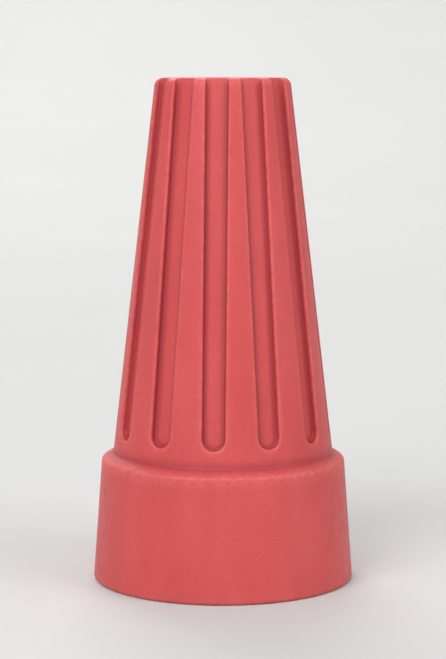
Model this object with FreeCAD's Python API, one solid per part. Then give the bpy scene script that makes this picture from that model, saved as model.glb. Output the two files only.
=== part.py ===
"""Twist wire connector: a tapered, fluted plastic shell with a square-wire coil spring pressed inside it.

The shell stands on its open mouth. +Z runs along its axis from the mouth to the closed tip, and the origin
is the centre of the mouth's rim. Lengths are millimetres. Each piece goes to its own file in parts/.
"""

import FreeCAD
import Part

import math
import os

# ---- Driving dimensions -------------------------------------------------------------------------

# Outside of the shell
TOTAL_LENGTH = 28.0
MOUTH_DIAMETER = 14.6
SKIRT_LENGTH = 6.8            # smooth collar, from the rim to the ledge
SKIRT_TOP_DIAMETER = 13.6
LEDGE_RISE = 0.4              # the ledge slopes from the collar up to the fluted taper
BODY_ROOT_DIAMETER = 12.3     # fluted taper, where it meets the ledge
TIP_DIAMETER = 7.5
MOUTH_EDGE_RADIUS = 0.2
LEDGE_EDGE_RADIUS = 0.25
LEDGE_ROOT_RADIUS = 0.2
TIP_EDGE_RADIUS = 0.5

# Flutes: round-ended channels that run out through the tip
FLUTE_COUNT = 12
FLUTE_SETBACK = 0.95          # plain band between the ledge and the flutes' round ends
FLUTE_WIDTH = 1.25
FLUTE_DEPTH = 0.4
FLUTE_FLOOR_RADIUS = 0.15
FLUTE_EDGE_RADIUS = 0.12

# Gate mark in the middle of the tip
GATE_DISH_RADIUS = 1.2
GATE_DISH_DEPTH = 0.25
GATE_NUB_RADIUS = 0.4
GATE_NUB_HEIGHT = 0.15
GATE_EDGE_RADIUS = 0.1

# Inside of the shell
BORE_RADIUS = 5.8             # straight part of the skirt, where insulated wire goes in
MOUTH_BEVEL = 0.4
BORE_END = 5.8                # height at which the funnel starts
FUNNEL_EDGE_RADIUS = 0.4
LIP_RADIUS = 4.5              # snap lip that keeps the spring in
LIP_START = 7.1
LIP_END = 7.35
LIP_EDGE_RADIUS = 0.08
CHAMBER_START = 7.65
CHAMBER_MOUTH_RADIUS = 4.8
CHAMBER_END = 25.6
CHAMBER_END_RADIUS = 2.6
CHAMBER_CORNER_RADIUS = 1.2

# Grip ribs inside the wide end of the chamber, which bite on the spring's first turns
RIB_COUNT = 6
RIB_BAR_RADIUS = 0.35
RIB_STAND = 0.16              # how far a rib stands out of the chamber wall
RIB_START = 8.2
RIB_END = 11.0

# Spring: square wire set corner-inwards, so that its inner corners make a right-hand tapered thread
WIRE_SIDE = 0.95
WIRE_EDGE_CHAMFER = 0.1
SPRING_PITCH = 1.42
SPRING_TURNS = 11.5
SPRING_START = 7.63           # height of the wire's centre at the wide end, where it rests on the lip
SPRING_WALL_GAP = 0.08        # wide end, to the chamber wall; the ribs stand further out than this
SPRING_END_OUTER_RADIUS = 2.35
POINTS_PER_TURN = 24

BODY_START = SKIRT_LENGTH + LEDGE_RISE
AXIS = FreeCAD.Vector(0, 0, 1)
ORIGIN = FreeCAD.Vector(0, 0, 0)
NEARNESS = 0.02               # how near an edge must lie to a surface to be counted as on it


# ---- Outlines -----------------------------------------------------------------------------------

def in_plane(radius, height):
    """A point of a half section, which lies in the XZ plane."""
    return FreeCAD.Vector(radius, 0, height)


def corner_arc(before, corner, after, radius):
    """Start, middle and end of the arc that rounds a corner between two straight lines."""
    back = (before - corner).normalize()
    ahead = (after - corner).normalize()
    half_angle = back.getAngle(ahead) / 2
    reach = radius / math.tan(half_angle)
    bisector = (back + ahead).normalize()
    centre = corner + bisector * (radius / math.sin(half_angle))
    return corner + back * reach, centre - bisector * radius, corner + ahead * reach


def rounded_face(corners):
    """A flat face from (point, corner radius) pairs. A radius of 0 leaves the corner sharp."""
    points = [point for point, _ in corners]
    edges = []
    starts = []
    ends = []
    for index, (point, radius) in enumerate(corners):
        if radius:
            before = points[index - 1]
            after = points[(index + 1) % len(points)]
            first, middle, last = corner_arc(before, point, after, radius)
            edges.append(Part.Arc(first, middle, last).toShape())
        else:
            first = last = point
        starts.append(first)
        ends.append(last)
    for index, leaving in enumerate(ends):
        arriving = starts[(index + 1) % len(starts)]
        edges.append(Part.makeLine(leaving, arriving))
    return Part.Face(Part.Wire(Part.__sortEdges__(edges)))


# ---- Shell --------------------------------------------------------------------------------------

def chamber_radius(height):
    """Radius of the spring chamber's tapered wall at a height."""
    share = (height - CHAMBER_START) / (CHAMBER_END - CHAMBER_START)
    return CHAMBER_MOUTH_RADIUS + share * (CHAMBER_END_RADIUS - CHAMBER_MOUTH_RADIUS)


def shell_blank():
    """The shell before its flutes and ribs: one half section turned about the axis."""
    dish_floor = TOTAL_LENGTH - GATE_DISH_DEPTH
    nub_top = dish_floor + GATE_NUB_HEIGHT
    outside = [
        (in_plane(MOUTH_DIAMETER / 2, 0), MOUTH_EDGE_RADIUS),
        (in_plane(SKIRT_TOP_DIAMETER / 2, SKIRT_LENGTH), LEDGE_EDGE_RADIUS),
        (in_plane(BODY_ROOT_DIAMETER / 2, BODY_START), LEDGE_ROOT_RADIUS),
        (in_plane(TIP_DIAMETER / 2, TOTAL_LENGTH), TIP_EDGE_RADIUS),
    ]
    gate_mark = [
        (in_plane(GATE_DISH_RADIUS + GATE_DISH_DEPTH, TOTAL_LENGTH), GATE_EDGE_RADIUS),
        (in_plane(GATE_DISH_RADIUS, dish_floor), GATE_EDGE_RADIUS),
        (in_plane(GATE_NUB_RADIUS, dish_floor), 0),
        (in_plane(GATE_NUB_RADIUS, nub_top), GATE_EDGE_RADIUS),
        (in_plane(0, nub_top), 0),
    ]
    inside = [
        (in_plane(0, CHAMBER_END), 0),
        (in_plane(CHAMBER_END_RADIUS, CHAMBER_END), CHAMBER_CORNER_RADIUS),
        (in_plane(CHAMBER_MOUTH_RADIUS, CHAMBER_START), 0),
        (in_plane(LIP_RADIUS, LIP_END), LIP_EDGE_RADIUS),
        (in_plane(LIP_RADIUS, LIP_START), LIP_EDGE_RADIUS),
        (in_plane(BORE_RADIUS, BORE_END), FUNNEL_EDGE_RADIUS),
        (in_plane(BORE_RADIUS, MOUTH_BEVEL), 0),
        (in_plane(BORE_RADIUS + MOUTH_BEVEL, 0), 0),
    ]
    section = rounded_face(outside + gate_mark + inside)
    return section.revolve(ORIGIN, AXIS, 360)


def flute_cutter():
    """A round-ended bar that cuts the flute on the +X side, parallel to the shell's taper."""
    root = in_plane(BODY_ROOT_DIAMETER / 2, BODY_START)
    tip = in_plane(TIP_DIAMETER / 2, TOTAL_LENGTH)
    along = (tip - root).normalize()
    across = FreeCAD.Vector(0, 1, 0)
    outward = across.cross(along)
    overrun = 2.0
    half_width = FLUTE_WIDTH / 2
    start = FLUTE_SETBACK + half_width
    end = (tip - root).Length + overrun

    def on_floor(distance, sideways):
        return root + along * distance + across * sideways - outward * FLUTE_DEPTH

    left_start = on_floor(start, -half_width)
    right_start = on_floor(start, half_width)
    left_end = on_floor(end, -half_width)
    right_end = on_floor(end, half_width)
    floor = Part.Face(Part.Wire([
        Part.Arc(left_start, on_floor(FLUTE_SETBACK, 0), right_start).toShape(),
        Part.makeLine(right_start, right_end),
        Part.makeLine(right_end, left_end),
        Part.makeLine(left_end, left_start),
    ]))
    bar = floor.extrude(outward * (FLUTE_DEPTH + overrun))
    floor_edges = [edge for edge in bar.Edges if is_near(floor, middle_of(edge))]
    far_end = on_floor(end, 0)
    rounded = [edge for edge in floor_edges if (middle_of(edge) - far_end).Length > NEARNESS]
    return bar.makeFillet(FLUTE_FLOOR_RADIUS, rounded)


def middle_of(edge):
    return edge.valueAt((edge.FirstParameter + edge.LastParameter) / 2)


def is_near(shape, point):
    return shape.distToShape(Part.Vertex(point))[0] < NEARNESS


def is_flute_edge(edge):
    """Whether an edge is where a flute breaks through the outside of the taper."""
    middle = middle_of(edge)
    rise = (middle.z - BODY_START) / (TOTAL_LENGTH - BODY_START)
    taper_radius = (BODY_ROOT_DIAMETER + rise * (TIP_DIAMETER - BODY_ROOT_DIAMETER)) / 2
    on_taper = abs(math.hypot(middle.x, middle.y) - taper_radius) < NEARNESS
    above_ledge = middle.z > BODY_START + LEDGE_ROOT_RADIUS
    return on_taper and above_ledge and not isinstance(edge.Curve, Part.Circle)


def grip_rib():
    """A round-ended bar along the chamber wall on the +X side, of which only a low crest stands out."""
    def centre(height):
        return in_plane(chamber_radius(height) + RIB_BAR_RADIUS - RIB_STAND, height)

    start, end = centre(RIB_START), centre(RIB_END)
    run = end - start
    bar = Part.makeCylinder(RIB_BAR_RADIUS, run.Length, start, run)
    first_cap = Part.makeSphere(RIB_BAR_RADIUS, start)
    last_cap = Part.makeSphere(RIB_BAR_RADIUS, end)
    return bar.fuse([first_cap, last_cap])


def around_axis(shape, count, first_angle=0.0):
    """Copies of a shape, evenly spaced about the axis."""
    copies = []
    for index in range(count):
        turned = shape.copy()
        turned.rotate(ORIGIN, AXIS, first_angle + 360.0 * index / count)
        copies.append(turned)
    return copies


def make_shell():
    shell = shell_blank()
    shell = shell.cut(around_axis(flute_cutter(), FLUTE_COUNT))
    flute_edges = [edge for edge in shell.Edges if is_flute_edge(edge)]
    shell = shell.makeFillet(FLUTE_EDGE_RADIUS, flute_edges)
    between_flutes = 180.0 / FLUTE_COUNT
    shell = shell.fuse(around_axis(grip_rib(), RIB_COUNT, between_flutes)).removeSplitter()
    return shell.Solids[0]


# ---- Spring -------------------------------------------------------------------------------------

def wire_corners():
    """The wire's section about its centre, as (radial, axial) offsets: a square on its corner, chamfered."""
    half_diagonal = WIRE_SIDE / math.sqrt(2)
    cut = WIRE_EDGE_CHAMFER / math.sqrt(2)
    tip = half_diagonal - cut
    return [
        (tip, -cut), (tip, cut),
        (cut, tip), (-cut, tip),
        (-tip, cut), (-tip, -cut),
        (-cut, -tip), (cut, -tip),
    ]


def make_spring():
    corners = wire_corners()
    reach = max(radial for radial, _ in corners)
    start_radius = chamber_radius(SPRING_START) - SPRING_WALL_GAP - reach
    end_radius = SPRING_END_OUTER_RADIUS - reach
    steps = round(SPRING_TURNS * POINTS_PER_TURN)
    turns = [SPRING_TURNS * step / steps for step in range(steps + 1)]

    def corner_point(turn, radial, axial):
        radius = start_radius + (end_radius - start_radius) * turn / SPRING_TURNS + radial
        angle = 2 * math.pi * turn
        height = SPRING_START + SPRING_PITCH * turn + axial
        return FreeCAD.Vector(radius * math.cos(angle), radius * math.sin(angle), height)

    edges = []
    for corner in corners:
        curve = Part.BSplineCurve()
        curve.interpolate(Points=[corner_point(turn, *corner) for turn in turns], Parameters=turns)
        edges.append(curve.toShape())
    faces = [Part.makeRuledSurface(edge, edges[index - 1]) for index, edge in enumerate(edges)]
    for turn in (turns[0], turns[-1]):
        outline = [corner_point(turn, *corner) for corner in corners]
        faces.append(Part.Face(Part.makePolygon(outline + outline[:1])))
    skin = Part.Shell(faces)
    skin.sewShape()
    spring = Part.Solid(skin)
    if spring.Volume < 0:
        spring.reverse()
    return spring


# ---- Output -------------------------------------------------------------------------------------

def main():
    os.makedirs("parts", exist_ok=True)
    pieces = {"shell": make_shell(), "spring": make_spring()}
    for name, piece in pieces.items():
        piece.exportStep(f"parts/{name}.step")


main()
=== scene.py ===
"""Looks of the twist wire connector: a red polypropylene shell and a zinc-plated square-wire spring.

Both CAD nodes are replaced by finer meshes of the same shape, with every edge rounded, and with data on
where they wear and, on the shell, where shade is painted into the colour. Shape lengths are in
millimetres and become metres when a mesh is made. The connector stands on its mouth, and +Z runs from
the mouth to the closed tip.
"""

import math

import bmesh
import bpy
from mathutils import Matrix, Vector


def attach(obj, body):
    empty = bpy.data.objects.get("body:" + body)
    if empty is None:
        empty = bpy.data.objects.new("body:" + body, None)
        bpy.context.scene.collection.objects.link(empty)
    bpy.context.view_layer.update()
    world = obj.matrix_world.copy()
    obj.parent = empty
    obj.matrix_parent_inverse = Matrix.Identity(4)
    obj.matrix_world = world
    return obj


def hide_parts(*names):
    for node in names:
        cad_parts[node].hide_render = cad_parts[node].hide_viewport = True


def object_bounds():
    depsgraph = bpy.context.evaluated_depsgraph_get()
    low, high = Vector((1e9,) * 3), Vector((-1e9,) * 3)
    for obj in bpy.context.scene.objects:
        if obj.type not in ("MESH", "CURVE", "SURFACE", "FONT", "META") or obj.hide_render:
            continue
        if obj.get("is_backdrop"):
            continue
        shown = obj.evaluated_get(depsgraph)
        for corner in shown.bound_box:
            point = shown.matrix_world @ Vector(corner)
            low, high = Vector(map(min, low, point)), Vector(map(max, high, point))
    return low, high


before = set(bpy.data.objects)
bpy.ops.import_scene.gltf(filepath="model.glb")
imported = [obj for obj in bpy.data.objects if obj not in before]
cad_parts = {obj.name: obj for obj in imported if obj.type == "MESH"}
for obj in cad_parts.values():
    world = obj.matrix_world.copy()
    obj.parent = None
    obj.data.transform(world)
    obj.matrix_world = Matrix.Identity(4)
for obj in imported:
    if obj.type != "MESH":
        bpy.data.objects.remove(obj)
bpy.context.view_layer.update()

MM = 0.001

# ---- Shape, in millimetres ----------------------------------------------------------------------

TOTAL_LENGTH = 28.0
MOUTH_RADIUS = 7.3
SKIRT_LENGTH = 6.8
SKIRT_TOP_RADIUS = 6.8
BODY_START = 7.2
BODY_ROOT_RADIUS = 6.15
TIP_RADIUS = 3.75
MOUTH_EDGE_RADIUS = 0.2
LEDGE_EDGE_RADIUS = 0.25
LEDGE_ROOT_RADIUS = 0.2
TIP_EDGE_RADIUS = 0.5

FLUTE_COUNT = 12
FLUTE_SETBACK = 0.95
FLUTE_RADIUS = 0.625
FLUTE_DEPTH = 0.4
FLUTE_FLOOR_RADIUS = 0.15
FLUTE_EDGE_RADIUS = 0.12

GATE_DISH_RADIUS = 1.2
GATE_DISH_DEPTH = 0.25
GATE_NUB_RADIUS = 0.4
GATE_NUB_HEIGHT = 0.15
GATE_EDGE_RADIUS = 0.1
GATE_NUB_EDGE_RADIUS = 0.07
GATE_NUB_ROOT_RADIUS = 0.04

BORE_RADIUS = 5.8
MOUTH_BEVEL = 0.4
BORE_END = 5.8
FUNNEL_EDGE_RADIUS = 0.4
LIP_RADIUS = 4.5
LIP_START = 7.1
LIP_END = 7.35
LIP_EDGE_RADIUS = 0.08
CHAMBER_START = 7.65
CHAMBER_MOUTH_RADIUS = 4.8
CHAMBER_END = 25.6
CHAMBER_END_RADIUS = 2.6
CHAMBER_CORNER_RADIUS = 1.2
SMALL_EDGE_RADIUS = 0.05      # on edges that the CAD leaves sharp

RIB_COUNT = 6
RIB_BAR_RADIUS = 0.35
RIB_STAND = 0.16
RIB_START = 8.2
RIB_END = 11.0

WIRE_SIDE = 0.95
WIRE_EDGE_CHAMFER = 0.1
SPRING_PITCH = 1.42
SPRING_TURNS = 11.5
SPRING_START = 7.63
SPRING_WALL_GAP = 0.08
SPRING_END_OUTER_RADIUS = 2.35
SPRING_CUT_BULGE = 0.035      # how far the cut ends of the wire bulge

SLOPE = (TIP_RADIUS - BODY_ROOT_RADIUS) / (TOTAL_LENGTH - BODY_START)
TAPER = math.atan(-SLOPE)
SECTOR = 2 * math.pi / FLUTE_COUNT
FLUTE_CENTRE = FLUTE_SETBACK + FLUTE_RADIUS      # of the round end, measured up the slope
RIM_REACH = FLUTE_RADIUS + FLUTE_EDGE_RADIUS     # half a flute's width, with its rounded rim
FLOOR_REACH = FLUTE_RADIUS - FLUTE_FLOOR_RADIUS  # half the flat part of its floor
WIRE_REACH = (WIRE_SIDE - WIRE_EDGE_CHAMFER) / math.sqrt(2)  # from the wire's centre to a blunted corner

# ---- Mesh steps ---------------------------------------------------------------------------------

ARC_STEPS = 20                # round a flute's end
UP_STEPS = 26                 # up a flute
FLOOR_STEPS = 4               # across a flute's floor
FILLET_STEPS = 4              # across a flute's rim or floor fillet
LAND_STEPS = 9                # across a land
BAND_STEPS = 4                # up the plain band below the flutes
TIP_EDGE_STEPS = 8
WIRE_STEPS_PER_TURN = 56


# ---- Mesh helpers -------------------------------------------------------------------------------

class Patchwork:
    """Grids of points in millimetres that share their edges, welded into one closed mesh."""

    def __init__(self):
        self.points = []
        self.faces = []

    def grid(self, rows):
        """Quads between neighbouring rows, which all have the same number of points."""
        width = len(rows[0])
        first = len(self.points)
        for row in rows:
            self.points.extend(row)
        for i in range(len(rows) - 1):
            for j in range(width - 1):
                a = first + i * width + j
                self.faces.append((a, a + 1, a + width + 1, a + width))

    def build(self, name, weld_mm=0.0005):
        mesh = bpy.data.meshes.new(name)
        mesh.from_pydata([(x * MM, y * MM, z * MM) for x, y, z in self.points], [], self.faces)
        bm = bmesh.new()
        bm.from_mesh(mesh)
        bmesh.ops.remove_doubles(bm, verts=bm.verts, dist=weld_mm * MM)
        bmesh.ops.dissolve_degenerate(bm, edges=bm.edges, dist=weld_mm * MM)
        bmesh.ops.recalc_face_normals(bm, faces=bm.faces)
        for face in bm.faces:
            face.smooth = True
        bm.to_mesh(mesh)
        bm.free()
        piece = bpy.data.objects.new(name, mesh)
        bpy.context.scene.collection.objects.link(piece)
        return piece


def spaced(first, last, steps):
    """steps + 1 evenly spaced numbers from first to last."""
    return [first + (last - first) * i / steps for i in range(steps + 1)]


def turned(radius, angle, height):
    return (radius * math.cos(angle), radius * math.sin(angle), height)


def turn_about_axis(point, angle):
    x, y, z = point
    c, s = math.cos(angle), math.sin(angle)
    return (x * c - y * s, x * s + y * c, z)


def rounded_outline(corners, arc_steps=6, longest=100.0):
    """An open outline through (radius, height, corner radius) corners, as (radius, height) points."""
    points = []
    last = len(corners) - 1
    for i, (r, z, corner_radius) in enumerate(corners):
        corner = Vector((r, z))
        if i in (0, last) or corner_radius == 0:
            points.append(corner)
            continue
        back = (Vector(corners[i - 1][:2]) - corner).normalized()
        ahead = (Vector(corners[i + 1][:2]) - corner).normalized()
        half = math.acos(max(-1.0, min(1.0, back.dot(ahead)))) / 2
        centre = corner + (back + ahead).normalized() * (corner_radius / math.sin(half))
        reach = corner_radius / math.tan(half)
        start = corner + back * reach - centre
        end = corner + ahead * reach - centre
        from_angle = math.atan2(start.y, start.x)
        sweep = math.atan2(start.x * end.y - start.y * end.x, start.dot(end))
        for angle in spaced(from_angle, from_angle + sweep, arc_steps):
            points.append(centre + corner_radius * Vector((math.cos(angle), math.sin(angle))))
    outline = [points[0]]
    for point in points[1:]:
        before = outline[-1]
        steps = max(1, math.ceil((point - before).length / longest))
        outline.extend(before.lerp(point, k / steps) for k in range(1, steps + 1))
    return [(p.x, p.y) for p in outline]


# ---- Shell mesh ---------------------------------------------------------------------------------

def taper_radius(height):
    return BODY_ROOT_RADIUS + SLOPE * (height - BODY_START)


def height_at(run):
    """Height of a point that lies a run up the slope from the taper's root."""
    return BODY_START + run * math.cos(TAPER)


def flute_section():
    """(distance outside the flute's outline, depth) across its rounded rim, wall and floor fillet."""
    quarter = spaced(0, math.pi / 2, FILLET_STEPS)
    rim = [
        (FLUTE_EDGE_RADIUS * (1 - math.sin(t)), FLUTE_EDGE_RADIUS * (1 - math.cos(t)))
        for t in quarter
    ]
    foot = [
        (-FLUTE_FLOOR_RADIUS * (1 - math.cos(t)), FLUTE_DEPTH - FLUTE_FLOOR_RADIUS * (1 - math.sin(t)))
        for t in quarter
    ]
    return rim + foot


def body_point(height, side, depth=0.0, lean=0.0, rounding=0.0):
    """A point of the flute on the +X side. side is across it, and depth is below the taper. rounding is
    how far the tip's rounded edge lies below the taper at this height. A lean of 1 sets the wall square
    to the slope, as at the round end, and a lean of 0 keeps the row level, as at the tip."""
    z = height - lean * depth * math.sin(TAPER)
    full = taper_radius(z)
    surface = math.sqrt(full ** 2 - side ** 2)
    cut = depth / math.cos(TAPER) - depth / FLUTE_DEPTH * (full - surface)
    edge = math.sqrt((full - rounding / math.cos(TAPER)) ** 2 - side ** 2)
    # Close to the deeper of the two, but without a sharp line where they meet.
    sharpness = 8
    drop = ((surface - edge) ** sharpness + cut ** sharpness) ** (1 / sharpness)
    return (surface - drop, side, z)


def tip_rows():
    """(height, rounding) up the tip's rounded edge, from where it leaves the taper to the flat."""
    rows = []
    for angle in spaced(TAPER, math.pi / 2, TIP_EDGE_STEPS):
        height = TOTAL_LENGTH - TIP_EDGE_RADIUS * (1 - math.sin(angle))
        rows.append((height, TIP_EDGE_RADIUS * (1 - math.cos(angle - TAPER))))
    return rows


def flute_rows():
    """(height, lean, rounding) of each row of points, from a flute's round end to the tip's flat."""
    edge = tip_rows()
    first_height, top_height = height_at(FLUTE_CENTRE), edge[0][0]
    rows = [
        (height, (top_height - height) / (top_height - first_height), 0.0)
        for height in spaced(first_height, top_height, UP_STEPS)
    ]
    return rows + [(height, 0.0, rounding) for height, rounding in edge[1:]]


def flute_walls(rows, arc):
    """The rim, wall and floor fillet: down one side of a flute, round its end and up the other side."""
    section = flute_section()

    def straight(hand):
        return [
            [body_point(h, hand * (FLUTE_RADIUS + out), depth, lean, rounding) for out, depth in section]
            for h, lean, rounding in rows
        ]

    def round_end(angle):
        line = []
        for out, depth in section:
            reach = FLUTE_RADIUS + out
            height = height_at(FLUTE_CENTRE - reach * math.cos(angle))
            line.append(body_point(height, reach * math.sin(angle), depth, 1.0))
        return line

    return straight(-1)[::-1] + [round_end(angle) for angle in arc[1:-1]] + straight(1)


def flute_floor(rows):
    lines = []
    for angle in spaced(0, math.pi / 2, ARC_STEPS // 2)[:-1]:
        height = height_at(FLUTE_CENTRE - FLOOR_REACH * math.cos(angle))
        half = FLOOR_REACH * math.sin(angle)
        sides = spaced(-half, half, FLOOR_STEPS)
        lines.append([body_point(height, side, FLUTE_DEPTH, 1.0) for side in sides])
    for height, lean, rounding in rows:
        sides = spaced(-FLOOR_REACH, FLOOR_REACH, FLOOR_STEPS)
        lines.append([body_point(height, side, FLUTE_DEPTH, lean, rounding) for side in sides])
    return lines


def land_angles(radius):
    """Angles across the land that follows the flute on the +X side."""
    first = math.asin(RIM_REACH / radius)
    return spaced(first, SECTOR - first, LAND_STEPS)


def land(rows):
    lines = []
    for height, _, rounding in rows:
        radius = taper_radius(height) - rounding / math.cos(TAPER)
        lines.append([turned(radius, angle, height) for angle in land_angles(radius)])
    return lines


def plain_band(root_height, first_height, arc):
    """The taper below the flutes, as two patches: under a flute's round end, and under a land."""
    under_end, under_land = [], []
    for share in spaced(0, 1, BAND_STEPS):
        line = []
        for angle in arc:
            top = height_at(FLUTE_CENTRE - RIM_REACH * math.cos(angle))
            height = root_height + share * (top - root_height)
            line.append(body_point(height, RIM_REACH * math.sin(angle)))
        under_end.append(line)
        height = root_height + share * (first_height - root_height)
        radius = taper_radius(height)
        under_land.append([turned(radius, angle, height) for angle in land_angles(radius)])
    return under_end, under_land


def skirt_and_inside(first_height):
    """The height of the taper's root, and the outline from there over the mouth and up the inside."""
    corners = [
        (taper_radius(first_height), first_height, 0),
        (BODY_ROOT_RADIUS, BODY_START, LEDGE_ROOT_RADIUS),
        (SKIRT_TOP_RADIUS, SKIRT_LENGTH, LEDGE_EDGE_RADIUS),
        (MOUTH_RADIUS, 0, MOUTH_EDGE_RADIUS),
        (BORE_RADIUS + MOUTH_BEVEL, 0, SMALL_EDGE_RADIUS),
        (BORE_RADIUS, MOUTH_BEVEL, SMALL_EDGE_RADIUS),
        (BORE_RADIUS, BORE_END, FUNNEL_EDGE_RADIUS),
        (LIP_RADIUS, LIP_START, LIP_EDGE_RADIUS),
        (LIP_RADIUS, LIP_END, LIP_EDGE_RADIUS),
        (CHAMBER_MOUTH_RADIUS, CHAMBER_START, SMALL_EDGE_RADIUS),
        (CHAMBER_END_RADIUS, CHAMBER_END, CHAMBER_CORNER_RADIUS),
        (0, CHAMBER_END, 0),
    ]
    outline = rounded_outline(corners, longest=0.6)
    # The root is where the taper's straight side ends, at the outline's first bend.
    root_height = rounded_outline(corners[:3])[1][1]
    tolerance = 1e-9
    first_bend = next(i for i, (_, z) in enumerate(outline) if z <= root_height + tolerance)
    return root_height, outline[first_bend:]


def ribbed(radius, height, angle):
    """Radius of the chamber wall, or of the grip rib that stands out of it."""
    if not RIB_START - RIB_BAR_RADIUS < height < RIB_END + RIB_BAR_RADIUS:
        return radius
    pitch = 2 * math.pi / RIB_COUNT
    offset = (angle - SECTOR / 2 + pitch / 2) % pitch - pitch / 2
    side = radius * math.sin(offset)
    past_end = max(RIB_START - height, height - RIB_END, 0)
    room = RIB_BAR_RADIUS ** 2 - side ** 2 - past_end ** 2
    if room <= 0:
        return radius
    return min(radius, radius + RIB_BAR_RADIUS - RIB_STAND - math.sqrt(room))


def turned_outline(outline, angles):
    """The outline turned about the axis, with the grip ribs in the chamber's wall."""
    rows = []
    in_chamber = False
    for radius, height in outline:
        in_chamber = in_chamber or (radius < CHAMBER_MOUTH_RADIUS and height > LIP_END)
        radii = [ribbed(radius, height, angle) if in_chamber else radius for angle in angles]
        rows.append([turned(r, angle, height) for r, angle in zip(radii, angles)])
    return rows


def tip_face(edge):
    """Rings inwards from the tip's scalloped edge, over the flat and the gate mark, to the axis."""
    dish_floor = TOTAL_LENGTH - GATE_DISH_DEPTH
    inmost = min(math.hypot(x, y) for x, y, _ in edge)
    first_round_ring = 0.97 * inmost
    gate_mark = rounded_outline([
        (first_round_ring, TOTAL_LENGTH, 0),
        (GATE_DISH_RADIUS + GATE_DISH_DEPTH, TOTAL_LENGTH, GATE_EDGE_RADIUS),
        (GATE_DISH_RADIUS, dish_floor, GATE_EDGE_RADIUS),
        (GATE_NUB_RADIUS, dish_floor, GATE_NUB_ROOT_RADIUS),
        (GATE_NUB_RADIUS, dish_floor + GATE_NUB_HEIGHT, GATE_NUB_EDGE_RADIUS),
        (0, dish_floor + GATE_NUB_HEIGHT, 0),
    ], longest=0.4)
    # A second ring just inside the edge keeps the edge's shading off the flat.
    inset = [(0.992 * x, 0.992 * y, z) for x, y, z in edge]
    bearings = [math.atan2(y, x) for x, y, _ in edge]
    return [edge, inset] + [[turned(r, bearing, z) for bearing in bearings] for r, z in gate_mark]


def make_shell():
    arc = spaced(-math.pi / 2, math.pi / 2, ARC_STEPS)
    rows = flute_rows()
    first_height = rows[0][0]
    root_height, outline = skirt_and_inside(first_height)
    walls, floor, next_land = flute_walls(rows, arc), flute_floor(rows), land(rows)
    under_end, under_land = plain_band(root_height, first_height, arc)

    root_radius = taper_radius(root_height)
    end_angles = [math.asin(RIM_REACH * math.sin(angle) / root_radius) for angle in arc]
    sector_angles = end_angles + land_angles(root_radius)[1:-1]
    sector_edge = walls[0] + floor[-1][1:-1] + walls[-1][::-1] + next_land[-1][1:-1]

    patches = Patchwork()
    ring_angles = []
    tip_edge = []
    for k in range(FLUTE_COUNT):
        turn = k * SECTOR
        for patch in (walls, floor, next_land, under_end, under_land):
            patches.grid([[turn_about_axis(point, turn) for point in row] for row in patch])
        ring_angles += [turn + angle for angle in sector_angles]
        tip_edge += [turn_about_axis(point, turn) for point in sector_edge]
    ring_angles.append(ring_angles[0] + 2 * math.pi)
    tip_edge.append(tip_edge[0])
    patches.grid(turned_outline(outline, ring_angles))
    patches.grid(tip_face(tip_edge))
    return patches.build("shell_moulding")


# ---- Spring mesh --------------------------------------------------------------------------------

def chamber_radius(height):
    share = (height - CHAMBER_START) / (CHAMBER_END - CHAMBER_START)
    return CHAMBER_MOUTH_RADIUS + share * (CHAMBER_END_RADIUS - CHAMBER_MOUTH_RADIUS)


def wire_section(edge_radius, steps=4):
    """The square wire's outline about its centre, set on its corner, as (radial, axial) points."""
    centre_reach = WIRE_SIDE / math.sqrt(2) - edge_radius * math.sqrt(2)
    outline = []
    for corner in range(4):
        middle = corner * math.pi / 2
        for angle in spaced(middle - math.pi / 4, middle + math.pi / 4, steps):
            outline.append((
                centre_reach * math.cos(middle) + edge_radius * math.cos(angle),
                centre_reach * math.sin(middle) + edge_radius * math.sin(angle),
            ))
    return outline


def coil_radius(turn):
    """Radius of the wire's centre line, this many turns from its start."""
    first = chamber_radius(SPRING_START) - SPRING_WALL_GAP - WIRE_REACH
    last = SPRING_END_OUTER_RADIUS - WIRE_REACH
    return first + (last - first) * turn / SPRING_TURNS


def make_spring():
    edge_radius = (WIRE_SIDE / math.sqrt(2) - WIRE_REACH) / (math.sqrt(2) - 1)
    section = wire_section(edge_radius)
    section.append(section[0])
    steps = round(SPRING_TURNS * WIRE_STEPS_PER_TURN)

    def ring(turn, size=1.0, ahead=0.0):
        middle = coil_radius(turn)
        angle = 2 * math.pi * turn + ahead / middle
        height = SPRING_START + SPRING_PITCH * turn
        return [turned(middle + size * r, angle, height + size * z) for r, z in section]

    rows = [ring(turn) for turn in spaced(0, SPRING_TURNS, steps)]
    # (size of the ring, share of the bulge) from the wire's edge to the middle of its cut end
    cap = ((0.93, 0.83), (0.6, 0.96), (0.3, 1.0), (0.0, 1.0))
    before = [ring(0, size, -SPRING_CUT_BULGE * share) for size, share in cap][::-1]
    after = [ring(SPRING_TURNS, size, SPRING_CUT_BULGE * share) for size, share in cap]
    patches = Patchwork()
    patches.grid(before + rows + after)
    return patches.build("wire_spring")


# ---- Where surfaces wear, and where shade is painted into the colour -----------------------------

# (radius, height, reach, strength) of the edges and corners that run round the axis
WORN_EDGES = (
    (TIP_RADIUS, TOTAL_LENGTH, 0.5, 1.0),
    (SKIRT_TOP_RADIUS, SKIRT_LENGTH, 0.3, 1.0),
    (MOUTH_RADIUS, 0, 0.3, 1.0),
    (BORE_RADIUS + MOUTH_BEVEL, 0, 0.2, 1.0),
)
# Inward corners where shade is painted into the colour, as a stand-in for the shade that falls there
SHADED_CORNERS = (
    (BODY_ROOT_RADIUS, BODY_START, 0.5, 0.8),
    (GATE_DISH_RADIUS, TOTAL_LENGTH - GATE_DISH_DEPTH, 0.25, 0.5),
)
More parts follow.
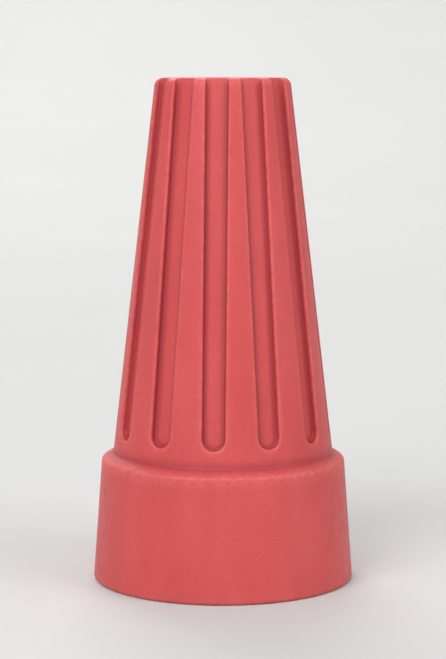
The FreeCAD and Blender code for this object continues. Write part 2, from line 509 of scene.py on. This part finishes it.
# The middle and half width of the bands along a flute, measured outwards from its outline
RIM_WEAR_AT, RIM_WEAR_WIDTH, RIM_WEAR_STRENGTH = 0.04, 0.09, 0.8
FOOT_SHADE_AT, FOOT_SHADE_WIDTH = -0.06, 0.13
WIRE_WEAR_WIDTH = 0.05        # inwards from the wire's corners


def bell(distance, width):
    return math.exp(-(distance / width) ** 2)


def near_edges(radius, height, edges):
    """The strongest of several edges' effects, each of which fades to nothing at its reach."""
    return max(
        strength * max(0.0, 1 - math.hypot(radius - r, height - z) / reach)
        for r, z, reach, strength in edges
    )


def shell_wear_and_painted_shade(x, y, z):
    """(wear on outward edges, painted shade in inward corners) at a point of the shell, each from 0 to
    1.
    """
    radius = math.hypot(x, y)
    wear = near_edges(radius, z, WORN_EDGES)
    shade = near_edges(radius, z, SHADED_CORNERS)
    depth = (taper_radius(z) - radius) * math.cos(TAPER)
    if z > BODY_START + LEDGE_ROOT_RADIUS and depth < 2 * FLUTE_DEPTH:
        angle = (math.atan2(y, x) + SECTOR / 2) % SECTOR - SECTOR / 2
        side = radius * math.sin(angle)
        run = (z - BODY_START) / math.cos(TAPER)
        if run < FLUTE_CENTRE:
            outside = math.hypot(run - FLUTE_CENTRE, side) - FLUTE_RADIUS
        else:
            outside = abs(side) - FLUTE_RADIUS
        if depth < FLUTE_DEPTH / 2:
            wear = max(wear, RIM_WEAR_STRENGTH * bell(outside - RIM_WEAR_AT, RIM_WEAR_WIDTH))
        else:
            # Painted shade along the foot of each flute's walls, fading out towards the tip's flat
            below_tip = min(1.0, (TOTAL_LENGTH - z) / TIP_EDGE_RADIUS)
            shade = max(shade, below_tip * bell(outside - FOOT_SHADE_AT, FOOT_SHADE_WIDTH))
    return wear, shade


def store(mesh, name, kind, values):
    attribute = mesh.attributes.new(name, kind, "POINT")
    attribute.data.foreach_set("vector" if kind == "FLOAT_VECTOR" else "value", values)


def store_shell_wear_and_painted_shade(piece):
    found = [shell_wear_and_painted_shade(*(c / MM for c in v.co)) for v in piece.data.vertices]
    store(piece.data, "wear", "FLOAT", [wear for wear, _ in found])
    store(piece.data, "shade", "FLOAT", [shade for _, shade in found])


def store_wire_path(piece):
    """Each vertex's place in the wire, in mm: its radial and axial offset and the length along the wire.
    The wire's four corners wear."""
    values = []
    wear = []
    for vertex in piece.data.vertices:
        x, y, z = (c / MM for c in vertex.co)
        share_of_turn = math.atan2(y, x) / (2 * math.pi)
        turn = share_of_turn + round((z - SPRING_START) / SPRING_PITCH - share_of_turn)
        middle = coil_radius(turn)
        along = math.pi * turn * (coil_radius(0) + middle)
        radial, axial = math.hypot(x, y) - middle, z - SPRING_START - SPRING_PITCH * turn
        values += [radial, axial, along]
        wear.append(max(0.0, 1 - (WIRE_REACH - max(abs(radial), abs(axial))) / WIRE_WEAR_WIDTH))
    store(piece.data, "wire", "FLOAT_VECTOR", values)
    store(piece.data, "wear", "FLOAT", wear)


# ---- Material helpers ---------------------------------------------------------------------------

def add(tree, kind, inputs=None, **settings):
    """A node, with its settings and with each input linked to a socket or set to a value."""
    node = tree.nodes.new(kind)
    for key, value in settings.items():
        setattr(node, key, value)
    for key, value in (inputs or {}).items():
        if isinstance(value, bpy.types.NodeSocket):
            tree.links.new(value, node.inputs[key])
        else:
            node.inputs[key].default_value = value
    return node


def blend_colours(tree, factor, a, b):
    return add(tree, "ShaderNodeMix", {0: factor, 6: a, 7: b}, data_type="RGBA").outputs[2]


def rescale(tree, value, from_low, from_high, to_low, to_high):
    ends = {"From Min": from_low, "From Max": from_high, "To Min": to_low, "To Max": to_high}
    return add(tree, "ShaderNodeMapRange", {"Value": value, **ends}).outputs[0]


def calculate(tree, operation, a, b):
    return add(tree, "ShaderNodeMath", {0: a, 1: b}, operation=operation).outputs[0]


def noise(tree, place, feature_mm, detail=2.0):
    """Noise whose features are about this size, from coordinates in metres."""
    inputs = {"Vector": place, "Scale": 1 / (feature_mm * MM), "Detail": detail}
    return add(tree, "ShaderNodeTexNoise", inputs).outputs[0]


def stretched(tree, place, factors, tilt_degrees=(0, 0, 0)):
    """Coordinates turned by a tilt and then scaled, so that a texture on them becomes streaks."""
    tilt = [math.radians(a) for a in tilt_degrees]
    turned_place = add(tree, "ShaderNodeMapping", {"Vector": place, "Rotation": tilt}).outputs[0]
    return add(tree, "ShaderNodeMapping", {"Vector": turned_place, "Scale": factors}).outputs[0]


def scratches(tree, place, width_mm, tilt_degrees, amount):
    """Fine sparse lines, 0 to 1, that run across the tilted Z axis and cover about this share of it."""
    lines = noise(tree, stretched(tree, place, (0.04, 0.04, 1.0), tilt_degrees), width_mm, detail=1.0)
    threshold = 0.76 - amount
    return rescale(tree, lines, threshold, threshold + 0.05, 0.0, 1.0)


def stored(tree, name, output="Fac"):
    return add(tree, "ShaderNodeAttribute", attribute_name=name).outputs[output]


def bumped(tree, height, depth_mm, under=None):
    inputs = {"Height": height, "Distance": depth_mm * MM}
    if under is not None:
        inputs["Normal"] = under
    return add(tree, "ShaderNodeBump", inputs).outputs[0]


def new_material(name):
    material = bpy.data.materials.new(name)
    material.use_nodes = True
    material.node_tree.nodes.clear()
    return material, material.node_tree


def finish_material(tree, inputs):
    shader = add(tree, "ShaderNodeBsdfPrincipled", inputs)
    add(tree, "ShaderNodeOutputMaterial", {"Surface": shader.outputs[0]})


# ---- Materials ----------------------------------------------------------------------------------

RED = (0.51, 0.061, 0.063, 1)
RED_PALER = (0.57, 0.079, 0.079, 1)
RED_GRAIN = (0.40, 0.036, 0.043, 1)
# Painted shade: the darker red used in inward corners
RED_PAINTED_CORNER_SHADE = (0.24, 0.010, 0.021, 1)
RED_RUBBED = (0.73, 0.22, 0.20, 1)
ZINC = (0.58, 0.59, 0.63, 1)
ZINC_WARMER = (0.72, 0.71, 0.68, 1)
ZINC_DRAWN = (0.36, 0.37, 0.40, 1)
ZINC_RUBBED = (0.82, 0.82, 0.83, 1)
PAPER = (0.52, 0.52, 0.517, 1)
PAPER_LIGHTER = (0.55, 0.55, 0.547, 1)


def red_polypropylene():
    """Satin moulded plastic: a faint swirl of pigment, mould grain, rubbed edges, light scuffs, and
    shade painted into the inward corners.
    """
    material, tree = new_material("red_polypropylene")
    place = add(tree, "ShaderNodeTexCoord").outputs["Object"]
    clouds = noise(tree, place, 6.0, detail=3.0)
    swirl = noise(tree, stretched(tree, place, (1.0, 1.0, 0.25)), 1.6, detail=4.0)
    mottle = noise(tree, place, 0.7, detail=3.0)
    grain = noise(tree, place, 0.11, detail=2.0)
    wear = stored(tree, "wear")
    shade = stored(tree, "shade")

    pigment = calculate(tree, "ADD", clouds, swirl)
    colour = blend_colours(tree, rescale(tree, pigment, 0.72, 1.28, 0.0, 1.0), RED, RED_PALER)
    colour = blend_colours(tree, rescale(tree, grain, 0.35, 0.75, 0.0, 0.3), colour, RED_GRAIN)
    # Painted shade: the stored corner shade darkens the red in the flutes, at the ledge's root and in
    # the gate dish
    colour = blend_colours(tree, calculate(tree, "MULTIPLY", shade, 0.7), colour, RED_PAINTED_CORNER_SHADE)

    scuffs = calculate(
        tree, "MAXIMUM",
        scratches(tree, place, 0.06, (0, 0, 0), 0.04),
        scratches(tree, place, 0.05, (38, 12, 0), 0.03),
    )
    scuffs = calculate(tree, "MULTIPLY", scuffs, rescale(tree, clouds, 0.45, 0.65, 0.0, 1.0))
    flecks = noise(tree, place, 0.28, detail=3.0)
    rub = calculate(tree, "MULTIPLY", wear, rescale(tree, flecks, 0.38, 0.62, 0.25, 1.0))
    paled = calculate(
        tree, "MAXIMUM",
        calculate(tree, "MULTIPLY", rub, 0.34),
        calculate(tree, "MULTIPLY", scuffs, 0.20),
    )
    colour = blend_colours(tree, paled, colour, RED_RUBBED)

    roughness = rescale(tree, mottle, 0.3, 0.7, 0.40, 0.52)
    roughness = calculate(tree, "ADD", roughness, calculate(tree, "MULTIPLY", paled, 0.25))
    normal = bumped(tree, clouds, 0.04)
    normal = bumped(tree, swirl, 0.012, normal)
    normal = bumped(tree, grain, 0.022, normal)
    normal = bumped(tree, calculate(tree, "SUBTRACT", 1.0, scuffs), 0.002, normal)
    finish_material(tree, {
        "Base Color": colour,
        "Roughness": roughness,
        "IOR": 1.49,
        "Specular IOR Level": 0.32,
        "Subsurface Weight": 0.10,
        "Subsurface Radius": (1.0, 0.25, 0.2),
        "Subsurface Scale": 1.0 * MM,
        "Normal": normal,
    })
    return material


def zinc_plated_wire():
    """Bright zinc on drawn wire: lines along the wire, a fine crystal grain and duller patches."""
    material, tree = new_material("zinc_plated_wire")
    place = add(tree, "ShaderNodeTexCoord").outputs["Object"]
    wire = stored(tree, "wire", "Vector")
    clouds = noise(tree, place, 1.6, detail=3.0)
    crystals = noise(tree, place, 0.10, detail=2.0)
    # The wire's own coordinates are in millimetres, so they are scaled to metres first.
    drawn = noise(tree, stretched(tree, wire, (MM, MM, 0.03 * MM)), 0.07, detail=2.0)
    colour = blend_colours(tree, rescale(tree, clouds, 0.35, 0.65, 0.0, 1.0), ZINC, ZINC_WARMER)
    colour = blend_colours(tree, rescale(tree, drawn, 0.48, 0.72, 0.0, 0.45), colour, ZINC_DRAWN)
    wear = stored(tree, "wear")
    rub = calculate(tree, "MULTIPLY", wear, rescale(tree, crystals, 0.35, 0.6, 0.2, 0.8))
    colour = blend_colours(tree, rub, colour, ZINC_RUBBED)
    roughness = calculate(
        tree, "ADD",
        rescale(tree, crystals, 0.3, 0.7, 0.22, 0.34),
        rescale(tree, clouds, 0.4, 0.7, 0.0, 0.14),
    )
    roughness = calculate(tree, "SUBTRACT", roughness, calculate(tree, "MULTIPLY", rub, 0.12))
    normal = bumped(tree, drawn, 0.006)
    normal = bumped(tree, crystals, 0.0015, normal)
    finish_material(tree, {
        "Base Color": colour,
        "Metallic": 1.0,
        "Roughness": roughness,
        "Normal": normal,
    })
    return material


def studio_paper():
    material, tree = new_material("studio_paper")
    place = add(tree, "ShaderNodeTexCoord").outputs["Object"]
    soft = noise(tree, place, 60.0, detail=2.0)
    colour = blend_colours(tree, soft, PAPER, PAPER_LIGHTER)
    normal = bumped(tree, noise(tree, place, 0.4, detail=2.0), 0.01)
    finish_material(tree, {"Base Color": colour, "Roughness": 0.9, "Normal": normal})
    return material


# ---- Pieces -------------------------------------------------------------------------------------

def dress(piece, node, material):
    """Puts a piece in place of a CAD node, with its material and with even shading."""
    piece.data.materials.append(material)
    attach(piece, "root")
    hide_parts(node)
    shading = piece.modifiers.new("even_shading", "WEIGHTED_NORMAL")
    shading.weight = 70


shell = make_shell()
store_shell_wear_and_painted_shade(shell)
dress(shell, "shell", red_polypropylene())

spring = make_spring()
store_wire_path(spring)
dress(spring, "spring", zinc_plated_wire())


# ---- Floor, light and camera, in metres ---------------------------------------------------------

FLOOR_RADII = (0.0001, 0.1, 0.30)     # of the flat floor's rings; the first leaves a pinhole
COVE_RADIUS = 0.25
WALL_HEIGHT = 0.25


def studio_bowl():
    """A flat floor that curves up into a round wall, so that every view has the same pale background."""
    flat = FLOOR_RADII[-1]
    profile = [(radius, 0.0) for radius in FLOOR_RADII]
    profile += [
        (flat + COVE_RADIUS * math.sin(a), COVE_RADIUS * (1 - math.cos(a)))
        for a in spaced(0, math.pi / 2, 16)[1:]
    ]
    profile.append((flat + COVE_RADIUS, COVE_RADIUS + WALL_HEIGHT))
    bowl = Patchwork()
    bowl.grid([[turned(r / MM, a, z / MM) for a in spaced(0, 2 * math.pi, 96)] for r, z in profile])
    piece = bowl.build("studio_floor_bowl")
    piece.data.materials.append(studio_paper())
    piece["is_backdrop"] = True


def softbox(name, place, size, power, target):
    light = bpy.data.lights.new(name, "AREA")
    light.shape = "SQUARE"
    light.size = size
    light.energy = power
    lamp = bpy.data.objects.new(name, light)
    lamp.location = place
    lamp.rotation_euler = (target - Vector(place)).to_track_quat("-Z", "Y").to_euler()
    bpy.context.scene.collection.objects.link(lamp)


studio_bowl()
low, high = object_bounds()
middle = (low + high) / 2

softbox("key", (-0.17, -0.37, 0.33), 0.30, 1.90, middle)
softbox("fill", (0.38, -0.20, 0.28), 0.30, 0.92, middle)
softbox("back", (-0.10, 0.38, 0.34), 0.30, 1.30, middle)

world = bpy.data.worlds.new("studio_world")
world.use_nodes = True
world.node_tree.nodes["Background"].inputs["Color"].default_value = (1.0, 1.0, 1.0, 1.0)
world.node_tree.nodes["Background"].inputs["Strength"].default_value = 0.62
bpy.context.scene.world = world
bpy.context.scene.view_settings.view_transform = "Standard"

AZIMUTH, ELEVATION = math.radians(5), math.radians(7)
SHARE_OF_FRAME = 0.76
camera_data = bpy.data.cameras.new("camera")
camera_data.lens = 120
camera = bpy.data.objects.new("camera", camera_data)
towards_camera = Vector((
    math.sin(AZIMUTH) * math.cos(ELEVATION),
    -math.cos(AZIMUTH) * math.cos(ELEVATION),
    math.sin(ELEVATION),
))
half_frame = (high.z - low.z) / SHARE_OF_FRAME / 2
distance = half_frame / (camera_data.sensor_width / 2 / camera_data.lens)
camera.location = middle + towards_camera * distance
camera.rotation_euler = (-towards_camera).to_track_quat("-Z", "Y").to_euler()
camera_data.clip_start = 0.001
bpy.context.scene.collection.objects.link(camera)
bpy.context.scene.camera = camera
